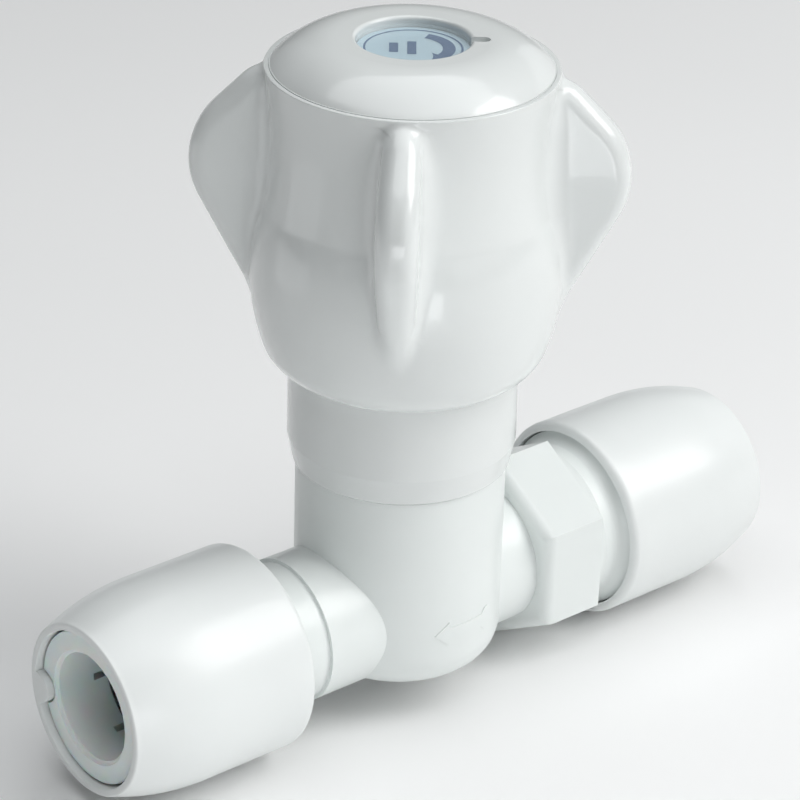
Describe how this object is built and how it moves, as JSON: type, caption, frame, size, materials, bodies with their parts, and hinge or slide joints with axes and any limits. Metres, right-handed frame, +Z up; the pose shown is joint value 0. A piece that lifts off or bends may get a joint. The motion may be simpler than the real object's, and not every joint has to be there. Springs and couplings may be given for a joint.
{
  "type": "push fit stop valve",
  "caption": "In-line push-fit stop valve for 15 mm pipe: white barrel body, socket with screwed end cap on each end, tall handwheel with rounded wings and a dial window.",
  "frame": {"origin": "on the pipe's axis, where the outlet pipe's end stops in its socket", "axes": "+X along the pipe from the outlet to the inlet, +Z up the spindle towards the handwheel"},
  "size_m": [0.1158, 0.0452, 0.0985],
  "materials": {
    "white_body": "satin gloss moulded plastic",
    "white_cap": "satin gloss moulded plastic",
    "white_handwheel": "high gloss moulded plastic",
    "collet_plastic": "satin acetal",
    "seal_rubber": "matt black",
    "steel_teeth": "spring stainless",
    "brass": "turned",
    "lens": "clear moulded window",
    "printed_disc": "pale disc with blue print",
    "screw_steel": "plated"
  },
  "bodies": {
    "valve": {"valve_body": "white_body", "inlet_connector": "white_body", "connector_seal": "seal_rubber", "headgear": "brass", "headgear_seal": "seal_rubber", "spindle_seals": "seal_rubber", "gland_nut": "brass", "bonnet": "white_handwheel", "outlet_spacer": "collet_plastic", "outlet_seal": "seal_rubber", "inlet_spacer": "collet_plastic", "inlet_seal": "seal_rubber"},
    "jumper": {"jumper": "brass", "jumper_washer": "seal_rubber", "jumper_nut": "brass"},
    "handwheel": {"spindle": "brass", "handwheel": "white_handwheel", "handwheel_cap": "white_handwheel", "indicator_disc": "printed_disc", "indicator_lens": "lens", "handwheel_screw": "screw_steel"},
    "outlet_ring": {"outlet_grab_ring": "steel_teeth"},
    "outlet_cap": {"outlet_cap": "white_cap"},
    "outlet_collet": {"outlet_collet": "collet_plastic"},
    "inlet_ring": {"inlet_grab_ring": "steel_teeth"},
    "inlet_cap": {"inlet_cap": "white_cap"},
    "inlet_collet": {"inlet_collet": "collet_plastic"}
  },
  "joints": [
    {"name": "spindle_rise", "type": "slide", "parent": "valve", "child": "jumper", "axis": [0, 0, 1], "range_m": [-0.006, 0]},
    {"name": "handwheel_turn", "type": "hinge", "parent": "jumper", "child": "handwheel", "pos_m": [0.028, 0, 0], "axis": [0, 0, 1], "range_deg": [-1080, 0]},
    {"name": "outlet_cap_travel", "type": "slide", "parent": "valve", "child": "outlet_ring", "axis": [-1, 0, 0], "range_m": [0, 0.01]},
    {"name": "outlet_cap_turn", "type": "hinge", "parent": "outlet_ring", "child": "outlet_cap", "pos_m": [0, 0, 0], "axis": [-1, 0, 0], "range_deg": [0, 1800]},
    {"name": "outlet_collet_push", "type": "slide", "parent": "outlet_cap", "child": "outlet_collet", "axis": [1, 0, 0], "range_m": [0, 0.0012], "stiffness_N_per_m": 800},
    {"name": "inlet_cap_travel", "type": "slide", "parent": "valve", "child": "inlet_ring", "axis": [1, 0, 0], "range_m": [0, 0.01]},
    {"name": "inlet_cap_turn", "type": "hinge", "parent": "inlet_ring", "child": "inlet_cap", "pos_m": [0.0628, 0, 0], "axis": [1, 0, 0], "range_deg": [0, 1800]},
    {"name": "inlet_collet_push", "type": "slide", "parent": "inlet_cap", "child": "inlet_collet", "axis": [-1, 0, 0], "range_m": [0, 0.0012], "stiffness_N_per_m": 800}
  ],
  "couplings": [
    {"joint": "spindle_rise", "follows": "handwheel_turn", "m_per_rad": 0.000318},
    {"joint": "outlet_cap_travel", "follows": "outlet_cap_turn", "m_per_rad": 0.000318},
    {"joint": "inlet_cap_travel", "follows": "inlet_cap_turn", "m_per_rad": 0.000318}
  ]
}
